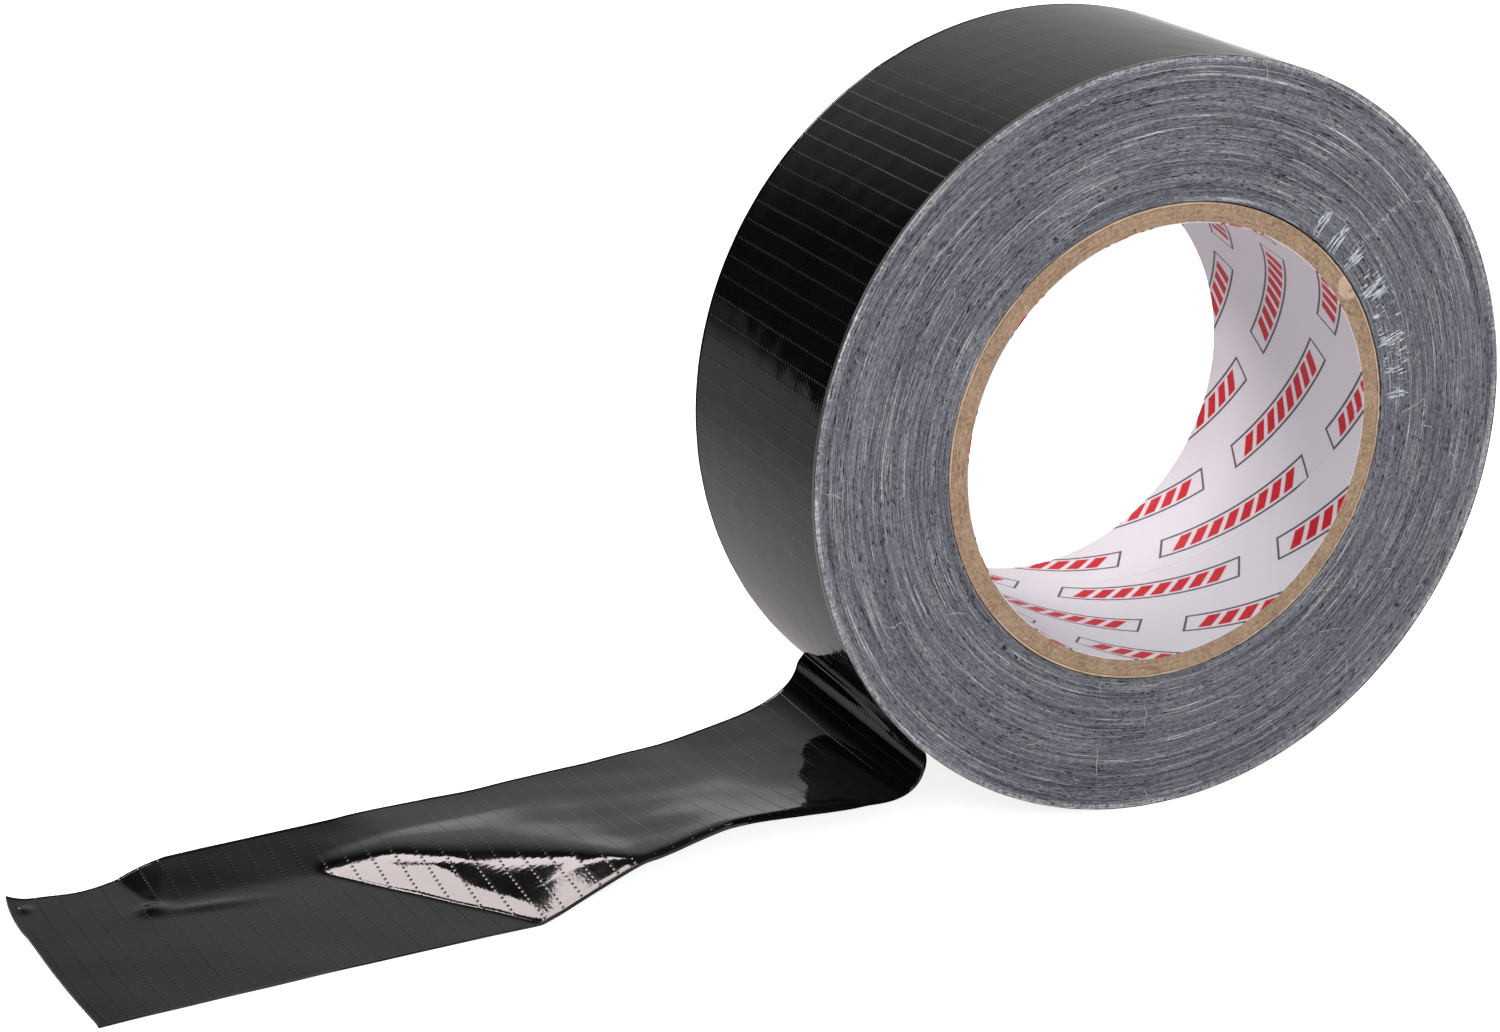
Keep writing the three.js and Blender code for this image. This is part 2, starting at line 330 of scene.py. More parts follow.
def linerMaterial(look):
    material, surface, uv = newMaterial("printed_liner", "linerUv", Roughness=0.5,
                                        Specular_IOR_Level=0.35)
    shifted = mapped(uv, Scale=(1, 1, 1), Location=(look["start"], look["rowStart"], 0))
    turned = mapped(shifted, Rotation=(0, 0, radians(-look["lean"])))
    along, across, _ = separate(turned)
    row = maths("FLOOR", over(across, look["acrossPitch"]))
    q = minus(across, times(plus(row, 0.5), look["acrossPitch"]))
    cell = maths("FRACT", over(timesPlus(row, look["rowShift"], along), look["alongPitch"]))
    p = times(minus(cell, 0.5), look["alongPitch"])
    edge = sizeOf(larger(minus(sizeOf(p), look["frameLength"] / 2),
                         minus(sizeOf(q), look["frameHeight"] / 2)))
    soft, line = look["soft"], look["line"] / 2
    outline = ranged(edge, line, line + soft, 1.0, 0.0)
    # bars that lean one way, with a paler rim where the ink has spread
    leaning = timesPlus(q, look["barLean"], p)
    share = maths("FRACT", over(leaning, look["barPitch"]))
    beside = minus(sizeOf(minus(share, 0.5)), look["barShare"] / 2)
    beside = times(beside, look["barPitch"])
    above = minus(sizeOf(q), look["barHeight"] / 2)
    past = minus(sizeOf(leaning), look["bars"] / 2 * look["barPitch"])
    outsideBar = larger(beside, larger(above, past))
    bars = ranged(outsideBar, -soft, soft, 1.0, 0.0)
    halo = ranged(outsideBar, soft, look["spread"], 0.55, 0.0)
    fibre = noise(uv, 2500.0, 4.0, 0.6)
    cloud = noise(uv, 110.0, 3.0)
    colour = mixColours(fibre, look["paperDark"], look["paper"])
    colour = mixColours(ranged(cloud, 0.3, 0.8, 0.0, 0.12), colour, (0.58, 0.60, 0.68, 1))
    colour = mixColours(halo, colour, look["halo"])
    colour = mixColours(times(bars, ranged(fibre, 0.25, 0.45, 0.82, 1.0)), colour, look["red"])
    colour = mixColours(times(outline, 0.9), colour, look["black"])
    finish(surface, colour, timesPlus(cloud, 0.05 * mm, times(fibre, 0.006 * mm)))
    return material


# Cut edges of the laps, read in polar form round the roll's axis: rings follow the laps,
# dark flecks are cut cotton, and painted shade in the holes beside it, and near the core the
# knife has dragged white fibres across the laps.
edgeLook = dict(
    pitch=0.18 * mm, bandStrength=0.55, fineStrength=0.95, ringStrength=0.315, hairStrength=0.285,
    fleckStrength=0.4675, scuffFrom=35.0, scuffTo=92.0, scuffInner=42.3 * mm, scuffOuter=49 * mm,
    rimStart=64.2 * mm, rimEnd=65.4 * mm, markAt=49.0, markStrength=0.4,
    olive=(0.36, 0.35, 0.27, 1), white=(0.80, 0.83, 0.85, 1), tones=[(0.0,
    (0.012, 0.013, 0.016, 1)), (1.0, (0.74, 0.74, 0.72, 1)), (0.22, (0.060, 0.062, 0.080, 1)),
    (0.42, (0.143, 0.147, 0.178, 1)), (0.62, (0.264, 0.266, 0.298, 1)),
    (0.82, (0.47, 0.48, 0.48, 1))])


def lapEdgeMaterial(look):
    material, surface, place = newMaterial("lap_edges", Specular_IOR_Level=0.4)
    x, y, z = separate(place)
    up = minus(z, axisHeight)
    radius = maths("SQRT", timesPlus(x, x, times(up, up)))
    angle = maths("ARCTAN2", x, up)
    lap = plus(over(radius, look["pitch"]), over(angle, tau))
    sine, cosine = maths("SINE", angle), maths("COSINE", angle)
    side = maths("SIGN", y)
    nearSide = ranged(y, 0.0, -0.01)

    # noise that is long along the laps; perTurn is detail round the roll, perLap across it
    def ringNoise(perTurn, perLap, detail=2.0, roughness=0.5, shift=0.0):
        return noise(combine(timesPlus(sine, perTurn, shift), timesPlus(cosine, perTurn, shift),
                             timesPlus(lap, perLap, times(side, 40.0 + shift))), 1.0, detail,
                     roughness)

    def centred(value, strength, base):
        return timesPlus(minus(value, 0.5), strength, base)

    grain = ringNoise(70.0, 0.8, 3.0, 0.7, 7.7)
    tone = centred(ringNoise(1.2, 0.16, 3.0, 0.6), look["bandStrength"], 0.40)
    tone = centred(ringNoise(4.0, 0.9, 3.0, 0.7, 3.1), look["fineStrength"], tone)
    tone = centred(grain, look["fineStrength"], tone)
    # thin pale rings: a cotton yarn cut lengthwise, coming and going round the roll
    thin = ranged(ringNoise(2.2, 0.55, 1.0, 0.5, 11.3), 0.60, 0.70)
    gate = ranged(ringNoise(5.0, 0.3, 2.0, 0.6, 5.9), 0.36, 0.60)
    tone = timesPlus(times(thin, gate), look["ringStrength"], tone)
    hair = ranged(ringNoise(4.5, 1.3, 1.0, 0.5, 21.3), 0.63, 0.74)
    tone = timesPlus(hair, look["hairStrength"], tone)
    # dark flecks, short and along the laps: cut cotton, and painted shade in the holes beside it
    fleck = ranged(ringNoise(42.0, 0.60, 1.0, 0.4, 15.7), 0.60, 0.69)
    # painted shade: the flecks grow darker where the holes are
    holeShade = ranged(ringNoise(2.5, 0.24, 2.0, 0.5, 17.9), 0.42, 0.62, 0.25, 1.0)
    tone = timesPlus(times(fleck, holeShade), -look["fleckStrength"], tone)
    # the outermost laps are scuffed pale, in short strokes across them
    rim = ranged(radius, look["rimStart"], look["rimEnd"])
    strokes = ranged(ringNoise(150.0, 0.07, 2.0, 0.6, 27.1), 0.42, 0.66)
    tone = timesPlus(rim, timesPlus(strokes, 0.22, 0.13), tone)
    tone = plus(tone, 0.0, clamp=True)
    ramp = addNode(place.id_data, "ShaderNodeValToRGB", {0: tone})
    stops = ramp.color_ramp.elements
    for number, (position, colour) in enumerate(look["tones"]):
        stop = stops[number] if number < 2 else stops.new(position)
        stop.position, stop.color = position, colour
    olive = ranged(ringNoise(3.0, 0.4, 2.0, 0.6, 31.7), 0.58, 0.72, 0.0, 0.5)
    base = mixColours(times(olive, ranged(tone, 0.3, 0.6)), ramp.outputs[0], look["olive"])
    # white drags near the core
    start, end = radians(look["scuffFrom"]), radians(look["scuffTo"])
    inner, outer = look["scuffInner"], look["scuffOuter"]
    around = times(ranged(angle, start, start + radians(12)),
                   ranged(angle, end - radians(14), end, 1.0, 0.0))
    within = times(ranged(radius, inner, inner + 0.8 * mm),
                   ranged(radius, outer - 2.5 * mm, outer, 1.0, 0.0))
    region = times(times(around, within), nearSide)
    drag = ranged(ringNoise(120.0, 0.09, 2.0, 0.55, 37.3), 0.56, 0.68)
    patchy = ranged(ringNoise(16.0, 0.10, 1.0, 0.5, 41.9), 0.42, 0.60)
    drag = times(times(drag, patchy), region)
    # one faint mark where the knife caught, straight out across the laps
    off = sizeOf(minus(angle, radians(look["markAt"])))
    catches = ranged(ringNoise(60.0, 0.5, 1.0, 0.5, 51.3), 0.50, 0.64)
    mark = times(ranged(off, 0.004, 0.016, 1.0, 0.0), catches)
    mark = times(times(mark, ranged(radius, 46 * mm, 49 * mm)), nearSide)
    drag = larger(drag, times(mark, look["markStrength"]))
    finish(surface, mixColours(times(drag, 0.9), base, look["white"]),
           times(plus(grain, drag), 0.05 * mm), ranged(tone, 0.1, 0.9, 0.42, 0.75))
    return material


film = filmMaterial(filmLook)
adhesive = adhesiveMaterial(filmLook)
cotton = cottonMaterial()
dragged = draggedMaterial()
board = boardMaterial(boardLook)
printed = linerMaterial(printLook)
lapEdges = lapEdgeMaterial(edgeLook)
print("materials made")


def newPiece(name, vertices, faces, material):
    mesh = bpy.data.meshes.new(name)
    mesh.from_pydata([tuple(v) for v in vertices], [], faces)
    mesh.materials.append(material)
    mesh.shade_smooth()
    return newObject(name, mesh)


def addUv(piece, name, uv):
    layer = piece.data.uv_layers.new(name=name)
    corner = np.empty(len(piece.data.loops), np.int32)
    piece.data.loops.foreach_get("vertex_index", corner)
    layer.data.foreach_set("uv", uv[corner].astype(np.float32).ravel())


# Corner numbers of a grid's faces, rows by columns, first corner at offset
def gridFaces(rows, columns, offset=0, flip=False):
    r, c = np.meshgrid(np.arange(rows - 1), np.arange(columns - 1), indexing="ij")
    first = r * columns + c
    faces = np.stack([first, first + 1, first + columns + 1, first + columns],
                     -1).reshape(-1, 4) + offset
    return faces[:, ::-1] if flip else faces


# A closed sheet between an upper and a lower grid of points
def sheetPiece(name, upper, lower, uv, material):
    rows, columns = upper.shape[:2]
    count = rows * columns
    index = np.arange(count).reshape(rows, columns)
    rim = np.concatenate([index[:, 0], index[-1, 1:], index[-2::-1, -1], index[0, -2:0:-1]])
    nextRim = np.roll(rim, -1)
    walls = np.stack([rim, rim + count, nextRim + count, nextRim], -1)
    faces = np.concatenate([gridFaces(rows, columns), gridFaces(rows, columns, count, True),
                            walls])
    vertices = np.concatenate([upper.reshape(-1, 3), lower.reshape(-1, 3)])
    piece = newPiece(name, vertices, faces.tolist(), material)
    addUv(piece, "tapeUv", np.concatenate([uv.reshape(-1, 2)] * 2))
    return piece


# What a holder's nodes make, as a plain mesh of its own
def fromModifier(holder, name, material):
    graph = bpy.context.evaluated_depsgraph_get()
    mesh = bpy.data.meshes.new_from_object(holder.evaluated_get(graph))
    mesh.name = name
    bpy.data.objects.remove(holder)
    if not mesh.materials:
        mesh.materials.append(material)
    return newObject(name, mesh)


# A smooth curve through a few given points, as a function of the first coordinate
def through(points, x):
    px, py = (np.array(column, float) for column in zip(*points))
    slope = np.gradient(py, px)
    i = np.clip(np.searchsorted(px, x) - 1, 0, len(px) - 2)
    step = px[i + 1] - px[i]
    t = np.clip((x - px[i]) / step, 0, 1)
    return ((2 * t**3 - 3 * t**2 + 1) * py[i] + (t**3 - 2 * t**2 + t) * step * slope[i]
            + (3 * t**2 - 2 * t**3) * py[i + 1] + (t**3 - t**2) * step * slope[i + 1])


# The lesser or the greater of two heights, with the corner between them rounded
def softLess(a, b, blend):
    return 0.5 * (a + b - np.sqrt((a - b) ** 2 + blend**2))


def softMore(a, b, blend):
    return 0.5 * (a + b + np.sqrt((a - b) ** 2 + blend**2))


def unit(value):
    return np.clip(value, 0, 1)


def bell(away, width):
    return np.exp(-((away / width) ** 2))


def arcLength(line):
    return np.concatenate([[0], np.cumsum(np.linalg.norm(np.diff(line, axis=0), axis=1))])


# 0 at the strip's near edge, 1 at its far edge
def acrossShare(y):
    return (y + halfWidth) / (2 * halfWidth)


# Smooth random waves in the plane, the same each run
def waves(u, v, size, seed, count=14):
    random = np.random.default_rng(seed)
    total = np.zeros_like(u)
    for _ in range(count):
        heading = random.uniform(0, tau)
        pull = random.uniform(0.6, 1.6) * tau / size
        total += np.sin(pull * (u * cos(heading) + v * sin(heading)) + random.uniform(0, tau))
    return total / sqrt(count)


# The tape: its outermost lap and the free end, as one strip
tapeShape = dict(
    filmThickness=0.055 * mm, scrimThickness=0.06 * mm, adhesiveThickness=0.05 * mm,
    bond=0.005 * mm, lapPitch=0.18 * mm, freeLength=150 * mm, cutBack=0.2 * mm, lapRows=220,
    slopeOut=0.40, slopeAcross=0.338, slopeFoot=68.95 * mm, shiftStart=20 * mm,
    shiftReach=143 * mm, endShift=6.3 * mm, endSlew=5.0, shiftPower=1.9, edgeDrop=0.9 * mm,
    edgeDropWidth=2.6 * mm, flapSlope=0.155, flapFoot=7.2 * mm, endSkew=2.6 * mm, crownPower=1.6,
    lip=0.12 * mm, lipWidth=1.6 * mm, waistOut=134 * mm, waistReach=6.5 * mm, waistDepth=2.1 * mm,
    hollowOut=100 * mm, hollowReach=(5.5 * mm, 12 * mm), pinchOut=124 * mm, pinchY=6.5 * mm,
    sinkDepth=2 * mm, turnStart=4 * mm, turnReach=9 * mm, gentleSlope=0.20, gentleFoot=97 * mm,
    crease=0.7 * mm, softCrease=2.0 * mm, dimple=0.55 * mm, roll=0.28 * mm, cornerCurl=1.05 * mm,
    pock=0.3 * mm, lapWaves=0.016 * mm, swell=0.06 * mm, flatWaves=0.035 * mm)
restHeight = (tapeShape["filmThickness"] + tapeShape["scrimThickness"]
              + tapeShape["adhesiveThickness"] + 2 * tapeShape["bond"])

# The strip's two edges in millimetres, as distance out from the peel line and height. First
# down from the roll and round the bend, then out over the table.
nearBend = [
    (0, 17.6), (-0.2, 17.0), (-0.3, 16.2), (-0.2, 15.2), (0.1, 14.2), (0.8, 12.7), (1.9, 11.5),
    (3.4, 10.6), (5.4, 10.05), (7.8, 9.85), (10.5, 9.9)]
farBend = [
    (0, 17.6), (0.4, 17.1), (1.1, 16.3), (1.45, 15.2), (1.9, 14.1), (2.6, 13.0), (3.6, 11.95),
    (5.2, 10.75), (7.2, 9.7), (9.1, 8.9), (11.5, 8.1)]
nearCrown = [
    (5, 10.0), (8, 9.85), (11, 9.95), (16.5, 10.45), (22, 10.95), (27, 11.3), (32, 11.4),
    (36, 11.25), (41, 10.3), (46, 9.1), (50, 8.4), (56, 9.1), (62, 10.1), (69, 11.2), (76, 11.0),
    (83, 9.0), (90.5, 2.5), (97, -4.0), (108, -5.0), (122, -5.0), (160, -5.0)]
farCrown = [
    (7, 9.8), (9, 8.9), (11.5, 8.1), (16, 6.9), (20, 6.05), (25, 5.2), (31, 4.55), (38, 3.95),
    (48, 3.4), (57, 3.1), (70, 2.9), (84, 2.95), (92, 2.9), (100, 2.6), (108, 2.25), (116, 2.1),
    (124, 1.9), (160, 1.9)]


# Sideways drift of the strip, which isn't straight, and the far edge's slight waist
def stripPlan(out, y, shape):
    run = np.clip((out - shape["shiftStart"]) / (shape["shiftReach"] - shape["shiftStart"]), 0,
                  None)
    plan = y * np.cos(radians(shape["endSlew"]) * run)
    plan = plan - shape["endShift"] * run ** shape["shiftPower"]
    waist = bell(out - shape["waistOut"], shape["waistReach"]) * acrossShare(y) ** 5
    return plan - shape["waistDepth"] * waist


# Height of the strip's outer face over the table beyond the bend
def stripHeight(out, y, shape):
    plan, share = stripPlan(out, y, shape), acrossShare(y)
    fromEdge = y + halfWidth
    near, far = through(nearCrown, out / mm), through(farCrown, out / mm)
    crown = (far + (near - far) * unit(1 - share) ** shape["crownPower"]) * mm
    # a hollow that runs into the tip of the sloping face
    hollowOut, hollowY, hollowFade = shape["hollowOut"], 15 * mm, 9 * mm
    hollow = bell(out - hollowOut, np.where(out < hollowOut, *shape["hollowReach"]))
    crown = crown * (1 - hollow * unit((hollowY - plan) / hollowFade))
    # the raised far edge ends in a fold that runs in from the edge to a pinch
    pinchOut, pinchY = shape["pinchOut"], shape["pinchY"]
    heading = np.degrees(np.arctan2(out - pinchOut, np.maximum(plan - pinchY, 0.3 * mm)))
    foldHeading, foldWidth = 16, 37
    fan = unit((foldHeading - heading) / foldWidth) ** 0.8
    sunk = np.maximum((1 - fan) * unit((pinchY + 3 * mm - plan) / (5 * mm)),
                      unit((heading - foldHeading) / 18)) * shape["sinkDepth"]
    crown = crown * fan - sunk
    flap = shape["flapSlope"] * (plan - shape["flapFoot"]) * fan - sunk
    edge = unit(1 - fromEdge / shape["edgeDropWidth"]) ** 2
    crown = crown - shape["edgeDrop"] * edge * unit((56 * mm - out) / (8 * mm))
    slope = (shape["slopeOut"] * (shape["slopeFoot"] - out)
             + shape["slopeAcross"] * (plan + 25 * mm))
    # past its tip the sloping face turns into a gentle one, straight down the strip
    turnAt = unit((plan - shape["turnStart"]) / shape["turnReach"])
    turnAt = turnAt * turnAt * (3 - 2 * turnAt)
    gentle = shape["gentleSlope"] * (shape["gentleFoot"] + 0.3 * (plan - 6 * mm) - out)
    slope = slope * (1 - turnAt) + gentle * turnAt
    # a sharp crease, but a wide soft one along the middle of the raised part
    middle = unit((y + 23 * mm) / (7 * mm)) * bell(out - 68 * mm, 13 * mm)
    raised = softLess(crown, slope, shape["crease"] + shape["softCrease"] * middle)
    lip = unit(1 - fromEdge / shape["lipWidth"]) ** 2
    raised = raised - shape["lip"] * lip * unit((raised - restHeight) / mm)
    raised = softMore(raised, flap, 0.2 * mm)
    height = softMore(raised, 0 * raised, 0.16 * mm) + restHeight
    # the pinch's own dimple, a soft roll of film beside it, and the corner that curls up
    dimple = np.exp(-(((out - 124.5 * mm) / (2.2 * mm)) ** 2
                      + ((plan - 5.2 * mm) / (1.7 * mm)) ** 2))
    rollOut, rollY = 116 * mm, 3.2 * mm
    roll = bell(plan - rollY - 0.10 * (out - 118 * mm), 1.3 * mm) * bell(out - rollOut, 8 * mm)
    corner = np.clip((out - 141 * mm) / (4 * mm) + (plan - 18.2 * mm) / (6 * mm), 0, None)
    pock = np.exp(-(((out - 143.6 * mm) ** 2 + (plan - 13.5 * mm) ** 2) / (1.0 * mm) ** 2))
    return (height + shape["dimple"] * dimple + shape["roll"] * roll
            + shape["cornerCurl"] * corner**2 + shape["pock"] * pock)


def smoothed(line, width):
    kernel = np.hanning(width + 2)[1:-1]
    kernel /= kernel.sum()
    padded = np.concatenate([np.repeat(line[:1], width // 2, 0), line,
                             np.repeat(line[-1:], width // 2, 0)])
    soft = np.stack([np.convolve(padded[:, k], kernel, "valid") for k in range(line.shape[1])], -1)
    fade = np.clip(np.arange(len(line)) / width, 0, 1)[:, None]
    return line * (1 - fade) + soft * fade


# One lengthwise line of the strip's outer face, from the peel line to past the end
def stripLine(y, shape):
    share, step = acrossShare(y), 0.1 * mm
    bend = (np.array(nearBend) * (1 - share) + np.array(farBend) * share) * mm
    dense = np.linspace(0, len(bend) - 1, 400)
    index = np.arange(len(bend))
    bend = np.stack([through(list(zip(index, bend[:, k])), dense) for k in (0, 1)], -1)
    out = np.arange(bend[-1, 0] + step, 162 * mm, step)
    height = stripHeight(out, np.full_like(out, y), shape)
    join = np.exp(-(out - out[0]) / (6 * mm))
    height = height + (bend[-1, 1] - height[0]) * join
    line = np.concatenate([bend, np.stack([out, height], -1)])
    line = np.stack([peel.x - line[:, 0], stripPlan(line[:, 0], np.full(len(line), y), shape),
                     line[:, 1]], -1)
    length = arcLength(line)
    even = np.arange(0, length[-1], step)
    line = np.stack([np.interp(even, length, line[:, k]) for k in range(3)], -1)
    return smoothed(line, 9)


def lapPoints(rows, columns, inset, shape):
    opening = 0.3 * mm  # between the lap's two ends, as in the solids
    share = np.linspace(1 - opening / (tau * rollRadius), 0, rows)[:, None]
    angle = peelAngle + tau * share
    y = np.linspace(inset - halfWidth, halfWidth - inset, columns)[None, :]
    radius = rollRadius - shape["lapPitch"] * share + 0 * y
    length = share * tau * (rollRadius - shape["lapPitch"] * share / 2) + 0 * y
    uneven = shape["lapWaves"] * waves(length, y + 0 * length, 9 * mm, 4)
    uneven = uneven * unit((1 - share) * 40) * unit(share * 60)
    radius = radius + np.minimum(uneven, 0.03 * mm)
    points = np.stack([radius * np.sin(angle), y + 0 * angle, axisHeight + radius * np.cos(angle)],
                      -1)
    return points, np.stack([-length, y + 0 * length], -1)


def freePoints(rows, columns, inset, shape):
    bendLength = 18  # the rows lie close together round the bend
    s = np.concatenate([np.arange(0.25, bendLength, 0.3),
                        np.linspace(bendLength, shape["freeLength"] / mm, rows)]) * mm
    across = np.linspace(inset - halfWidth, halfWidth - inset, columns)
    grid = np.zeros((len(s), columns, 3))
    for column, y in enumerate(across):
        line = stripLine(y, shape)
        length = arcLength(line)
        skew = shape["endSkew"] * (acrossShare(y) - 0.42) * unit((s - 100 * mm) / (50 * mm))
        for axis in range(3):
            grid[:, column, axis] = np.interp(s + skew, length, line[:, axis])
    across = np.broadcast_to(across, (len(s), columns))
    uv = np.stack([np.broadcast_to(s[:, None], across.shape), across], -1)
    # nothing real lies quite flat: a slight swell, none where the strip touches the table
    lift = unit((grid[..., 2] - restHeight) / (1.5 * mm))
    swell = shape["swell"] * waves(uv[..., 0], uv[..., 1], 16 * mm, 8)
    grid[..., 2] += swell * lift * unit((s - 8 * mm) / (12 * mm))[:, None]
    flat = shape["flatWaves"] * (1 + waves(uv[..., 0], uv[..., 1], 22 * mm, 9))
    grid[..., 2] += flat * unit((s - 60 * mm) / (20 * mm))[:, None]
    return grid, uv


def gridNormals(points):
    down = np.gradient(points, axis=0)
    across = np.gradient(points, axis=1)
    normal = np.cross(across, down)
    return normal / np.linalg.norm(normal, axis=-1, keepdims=True)


# A layer of the strip between two depths below its outer face
def layerPiece(name, freeRows, columns, inset, top, bottom, material, shape):
    lap, lapUv = lapPoints(shape["lapRows"], columns, inset, shape)
    free, freeUv = freePoints(freeRows, columns, inset, shape)
    points, uv = np.concatenate([lap, free]), np.concatenate([lapUv, freeUv])
    normal = gridNormals(points)
    return sheetPiece(name, points - normal * top, points - normal * bottom, uv, material)


filmBottom = tapeShape["filmThickness"]
scrimTop = filmBottom + tapeShape["bond"]
scrimBottom = scrimTop + tapeShape["scrimThickness"]
adhesiveTop = scrimBottom + tapeShape["bond"]
cutBack = tapeShape["cutBack"]
tapeFilm = layerPiece("tape_film", 470, 62, 0, 0, filmBottom, film, tapeShape)
tapeScrim = layerPiece("tape_scrim", 200, 40, cutBack, scrimTop, scrimBottom, cotton, tapeShape)
tapeAdhesive = layerPiece("tape_adhesive", 200, 40, cutBack, adhesiveTop, restHeight,
                          adhesive, tapeShape)
print("tape strip made")


# Wound laps: a strip rolled up by nodes
woundShape = dict(
    innerRadius=41.66 * mm, lapPitch=0.18 * mm, lapThickness=0.155 * mm, width=48.4 * mm,
    pointsPerTurn=120, wander=0.11 * mm, seed=7)


# A tree with its named inputs: sizes, whole numbers and a material
def startTree(name, sizes, counts):
    tree = bpy.data.node_groups.new(name, "GeometryNodeTree")
    sockets = [("Geometry", "Geometry")] + [(size, "Float") for size in sizes]
    sockets += [(count, "Int") for count in counts] + [("material", "Material")]
    for socket, kind in sockets:
        tree.interface.new_socket(socket, in_out="INPUT", socket_type="NodeSocket" + kind)
    tree.interface.new_socket("Geometry", in_out="OUTPUT", socket_type="NodeSocketGeometry")
    return tree, tree.nodes.new("NodeGroupInput").outputs


def endTree(tree, geometry, material):
    real = geoNode(tree, "RealizeInstances", {"Geometry": geometry})
    painted = geoNode(tree, "SetMaterial", {"Geometry": real, "Material": material})
    plug(painted, tree.nodes.new("NodeGroupOutput").inputs[0])
    return tree


def nodeHolder(name, tree, values, mesh=None):
    holder = newObject(name + "_holder", mesh or bpy.data.meshes.new(name + "_holder"))
    modifier = holder.modifiers.new("nodes", "NODES")
    modifier.node_group = tree
    for socket in tree.interface.items_tree:
        if socket.item_type == "SOCKET" and socket.in_out == "INPUT" and socket.name in values:
            modifier[socket.identifier] = values[socket.name]
    bpy.context.view_layer.update()
    return holder


def woundTree():
    tree, given = startTree("woundLaps", ("innerRadius", "lapPitch", "lapCount", "lapThickness",
                                          "width", "wander"), ("pointsPerTurn", "seed"))
    spiral = addNode(tree, "GeometryNodeCurveSpiral",
                     {"Resolution": given["pointsPerTurn"], "Rotations": given["lapCount"],
                      "Start Radius": given["innerRadius"], "Height": 0.0})
    plug(timesPlus(given["lapPitch"], given["lapCount"], given["innerRadius"]),
         spiral.inputs["End Radius"])
    # each lap lies a little to one side or the other, and drifts on its way round
    share = geoNode(tree, "SplineParameter")
    turn = times(share, given["lapCount"])
    place = geoNode(tree, "InputPosition")
    slow = addNode(tree, "ShaderNodeTexNoise", {"Vector": place, "W": turn, "Scale": 18.0,
                                                "Detail": 1.0}, noise_dimensions="4D")
    steps = addNode(tree, "ShaderNodeTexNoise", {"W": plus(times(turn, 0.61), given["seed"]),
                                                 "Scale": 1.0, "Detail": 2.0},
                    noise_dimensions="1D")
    both = plus(slow.outputs["Fac"], steps.outputs["Fac"])
    side = times(minus(both, 1.0), times(given["wander"], 2.0))
    moved = geoNode(tree, "SetPosition", {"Geometry": spiral.outputs[0],
                                          "Offset": combine(z=side)})
    upright = geoNode(tree, "SetCurveNormal", {"Curve": moved}, mode="Z_UP")
    profile = geoNode(tree, "CurvePrimitiveQuadrilateral",
                      {"Width": given["lapThickness"], "Height": given["width"]})
    swept = geoNode(tree, "CurveToMesh", {"Curve": upright, "Profile Curve": profile,
                                          "Fill Caps": True})
    flat = geoNode(tree, "SetShadeSmooth", {"Geometry": swept, "Shade Smooth": False})
    return endTree(tree, flat, given["material"])


def woundPiece(shape):
    pitch = shape["lapPitch"]
    laps = int((rollRadius - 1.5 * pitch - shape["innerRadius"]) / pitch)
    holder = nodeHolder("wound_laps", woundTree(), dict(
        shape, innerRadius=shape["innerRadius"] + 0.5 * pitch, lapCount=float(laps),
        material=lapEdges))
    piece = fromModifier(holder, "lap_edges_wound", lapEdges)
    # the spiral is made flat, about Z: stand it up with its outer end at the peel line
    standing = Matrix.Rotation(pi / 2, 4, "X")
    piece.data.transform(Matrix.Translation((0, 0, axisHeight)) @ standing)
    return piece


woundLaps = woundPiece(woundShape)
print("wound laps:", len(woundLaps.data.polygons), "faces")


# Core: plies of board wound on a spiral, and the printed liner
coreShape = dict(
    boreRadius=38.1 * mm, linerThickness=0.15 * mm, glue=0.02 * mm, plyThickness=0.8 * mm, plies=4,
    stripWidth=125 * mm, seam=0.5 * mm, outerSeam=56.0, stagger=97.0, roughEnd=0.10 * mm)


def tubePiece(name, inner, outer, seamDegrees, gap, material, steps, roughness, seed, uvName):
    lean = acos(coreShape["stripWidth"] / (tau * outer))
    radial = 5 if roughness else 2
    # rows across the width, in millimetres, closer together at the two ends
    y = np.concatenate([[0, 0.25, 0.7], np.linspace(1.6, 46.9, 28), [47.8, 48.25, 48.5]]) * mm
    y = y - halfWidth
    # the section's outline at one angle: out along one end, back along the other
    ends = np.linspace(inner, outer, radial)
    ring = ([(r, y[0]) for r in ends] + [(outer, value) for value in y[1:-1]]
            + [(r, y[-1]) for r in ends[::-1]] + [(inner, value) for value in y[-2:0:-1]])
    ring = np.array(ring)
    share = np.linspace(0, 1, steps)[:, None]
    radius, along = ring[None, :, 0] + 0 * share, ring[None, :, 1] + 0 * share
    start = radians(seamDegrees) + (along + halfWidth) * tan(lean) / outer
    opening = gap / radius
    angle = start + opening / 2 + share * (tau - opening)
    random = np.random.default_rng(seed)
    jitter = random.normal(0, 1, angle.shape) * roughness
    atEnd = np.abs(np.abs(along) - halfWidth) < 1e-9
    between = (ring[None, :, 0] > inner + 1e-6) & (ring[None, :, 0] < outer - 1e-6)
    along = along - np.sign(along) * np.abs(jitter) * atEnd
    radius = radius + random.normal(0, 1, angle.shape) * roughness * 0.35 * atEnd * between
    points = np.stack([radius * np.sin(angle), along, axisHeight + radius * np.cos(angle)], -1)
    count = len(ring)
    index = np.arange(steps * count).reshape(steps, count)
    loop = np.roll(index, -1, axis=1)
    faces = np.stack([index[:-1], index[1:], loop[1:], loop[:-1]], -1).reshape(-1, 4).tolist()
    faces.append(index[0].tolist())
    faces.append(index[-1][::-1].tolist())
    piece = newPiece(name, points.reshape(-1, 3), faces, material)
    if uvName:
        addUv(piece, uvName, np.stack([angle * inner, along], -1).reshape(-1, 2))
    piece.data.set_sharp_from_angle(angle=radians(40))
    return piece


